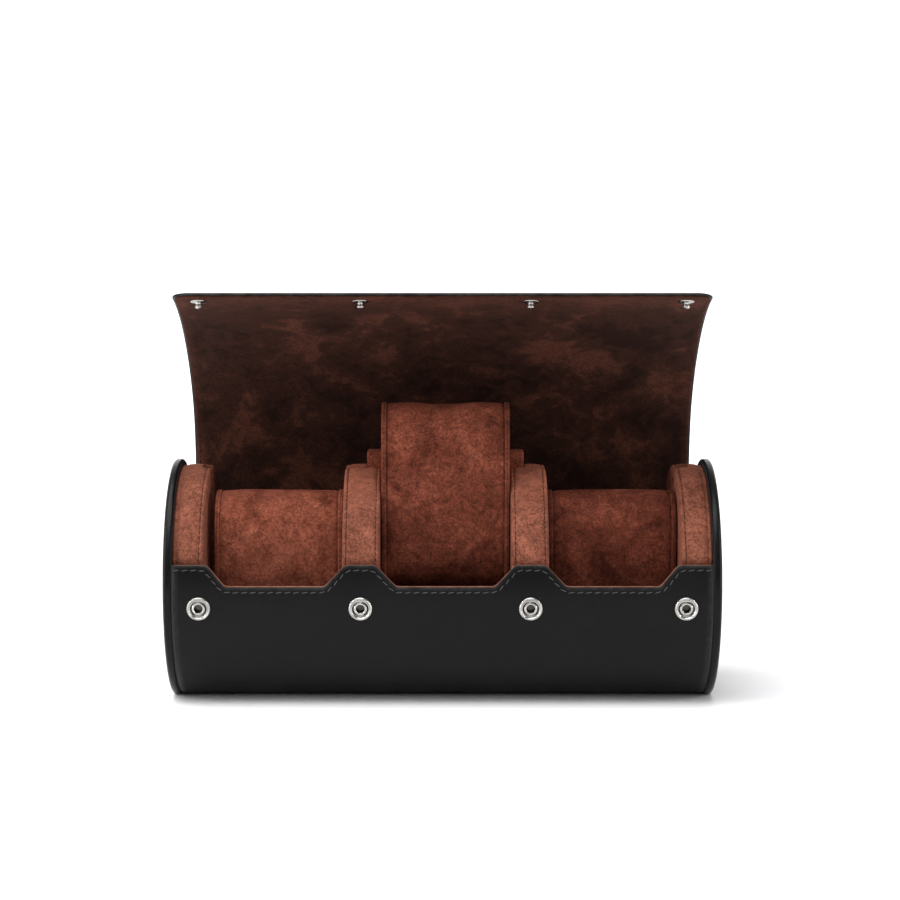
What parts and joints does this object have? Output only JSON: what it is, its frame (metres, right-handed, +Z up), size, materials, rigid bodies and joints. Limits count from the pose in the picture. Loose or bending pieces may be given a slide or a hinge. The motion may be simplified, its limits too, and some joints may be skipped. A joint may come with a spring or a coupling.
{
  "type": "watch travel case",
  "caption": "Round leather roll that carries wristwatches on sliding suede cushions under a wrapping flap with snap fasteners.",
  "frame": {"origin": "middle of the flat under the shell, below the roll's axis", "axes": "+X along the roll to the viewer's right, -Y towards the snapped front, +Z up"},
  "size_m": [0.235, 0.1042, 0.1757],
  "materials": {
    "black_leather": "smooth, satin",
    "suede": "brushed suede nap",
    "flap_suede": "brushed suede nap",
    "foam": "suede-covered foam",
    "board": "plain grey board",
    "snap_metal": "bright nickel"
  },
  "bodies": {
    "case": {"shell_leather": "black_leather", "shell_board": "board", "shell_lining": "suede", "end_cap_left": "black_leather", "end_cap_right": "black_leather", "end_board_left": "board", "end_board_right": "board", "end_welt_left": "black_leather", "end_welt_right": "black_leather", "collar_core_left": "foam", "collar_core_right": "foam", "collar_band_left": "suede", "collar_band_right": "suede", "divider_core_left": "foam", "divider_core_right": "foam", "divider_band_left": "suede", "divider_band_right": "suede", "snap_sockets": "snap_metal", "snap_socket_washers": "snap_metal", "flap_leather_0": "black_leather", "flap_lining_0": "flap_suede"},
    "flap_panel_1": {"flap_leather_1": "black_leather", "flap_lining_1": "flap_suede"},
    "flap_panel_2": {"flap_leather_2": "black_leather", "flap_lining_2": "flap_suede"},
    "flap_panel_3": {"flap_leather_3": "black_leather", "flap_lining_3": "flap_suede"},
    "flap_panel_4": {"flap_leather_4": "black_leather", "flap_lining_4": "flap_suede"},
    "flap_panel_5": {"flap_leather_5": "black_leather", "flap_lining_5": "flap_suede"},
    "flap_panel_6": {"flap_leather_6": "black_leather", "flap_lining_6": "flap_suede"},
    "flap_panel_7": {"flap_leather_7": "black_leather", "flap_lining_7": "flap_suede"},
    "flap_tip_panel": {"flap_leather_8": "black_leather", "flap_lining_8": "flap_suede", "snap_studs": "snap_metal", "snap_caps": "snap_metal"},
    "cushion_left": {"cushion_left": "suede", "cushion_left_boards": "suede", "cushion_left_wings": "suede"},
    "cushion_middle": {"cushion_middle": "suede", "cushion_middle_boards": "suede", "cushion_middle_wings": "suede"},
    "cushion_right": {"cushion_right": "suede", "cushion_right_boards": "suede", "cushion_right_wings": "suede"}
  },
  "joints": [
    {"name": "flap_hinge", "type": "hinge", "parent": "case", "child": "flap_panel_1", "pos_m": [0, 0.0519, 0.055], "axis": [-1, 0, 0], "range_deg": [-15.34, 80]},
    {"name": "flap_fold_2", "type": "hinge", "parent": "flap_panel_1", "child": "flap_panel_2", "pos_m": [0, 0.0503, 0.07674], "axis": [-1, 0, 0], "range_deg": [-26.45, 2.52]},
    {"name": "flap_fold_3", "type": "hinge", "parent": "flap_panel_2", "child": "flap_panel_3", "pos_m": [0, 0.0503, 0.09847], "axis": [-1, 0, 0], "range_deg": [-7.67, 0.74]},
    {"name": "flap_fold_4", "type": "hinge", "parent": "flap_panel_3", "child": "flap_panel_4", "pos_m": [0, 0.04421, 0.11934], "axis": [-1, 0, 0], "range_deg": [-0.764, 0.082]},
    {"name": "flap_fold_5", "type": "hinge", "parent": "flap_panel_4", "child": "flap_panel_5", "pos_m": [0, 0.03043, 0.13615], "axis": [-1, 0, 0], "range_deg": [-11.7, 1.12]},
    {"name": "flap_fold_6", "type": "hinge", "parent": "flap_panel_5", "child": "flap_panel_6", "pos_m": [0, 0.01348, 0.14975], "axis": [-1, 0, 0], "range_deg": [-15.06, 1.44]},
    {"name": "flap_fold_7", "type": "hinge", "parent": "flap_panel_6", "child": "flap_panel_7", "pos_m": [0, -0.00526, 0.16076], "axis": [-1, 0, 0], "range_deg": [-14.72, 1.4]},
    {"name": "flap_tip", "type": "hinge", "parent": "flap_panel_7", "child": "flap_tip_panel", "pos_m": [0, -0.0254, 0.16895], "axis": [-1, 0, 0], "range_deg": [-19.43, 25]},
    {"name": "cushion_left_slide", "type": "slide", "parent": "case", "child": "cushion_left", "axis": [0, 0, 1], "range_m": [0, 0.05]},
    {"name": "cushion_middle_slide", "type": "slide", "parent": "case", "child": "cushion_middle", "axis": [0, 0, 1], "range_m": [-0.038, 0.0036]},
    {"name": "cushion_right_slide", "type": "slide", "parent": "case", "child": "cushion_right", "axis": [0, 0, 1], "range_m": [0, 0.05]}
  ],
  "couplings": [
    {"joint": "flap_fold_2", "follows": "cushion_middle_slide", "rad_per_m": 12.143},
    {"joint": "flap_fold_3", "follows": "cushion_middle_slide", "rad_per_m": 3.5176},
    {"joint": "flap_fold_4", "follows": "cushion_middle_slide", "rad_per_m": 0.3462},
    {"joint": "flap_fold_5", "follows": "cushion_middle_slide", "rad_per_m": 5.371},
    {"joint": "flap_fold_6", "follows": "cushion_middle_slide", "rad_per_m": 6.9125},
    {"joint": "flap_fold_7", "follows": "cushion_middle_slide", "rad_per_m": 6.758}
  ]
}
